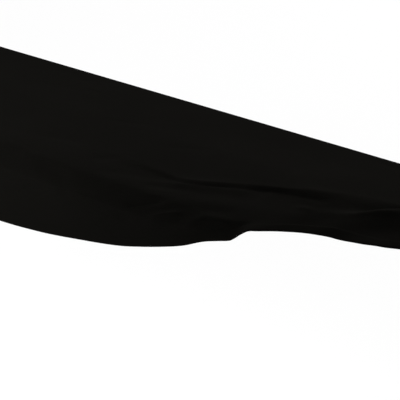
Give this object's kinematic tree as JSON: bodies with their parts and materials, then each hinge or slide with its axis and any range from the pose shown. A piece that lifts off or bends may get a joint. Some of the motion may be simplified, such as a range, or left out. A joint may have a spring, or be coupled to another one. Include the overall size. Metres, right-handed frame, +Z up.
{
  "type": "piano cover",
  "caption": "Fitted stretch cloth dust cover for a slab digital piano, hollow and open below, its front hem low at one end and pushed up at the other.",
  "frame": {"origin": "underside of the cloth, at the middle of the cover's level top", "axes": "+X along the cover, to the right as its front is faced, +Y to its back, +Z up"},
  "size_m": [1.383, 0.304, 0.1304],
  "materials": {
    "cloth": "matt near-black stretch knit with a faint grazing sheen"
  },
  "bodies": {
    "root": {"cover": "cloth"}
  },
  "joints": []
}
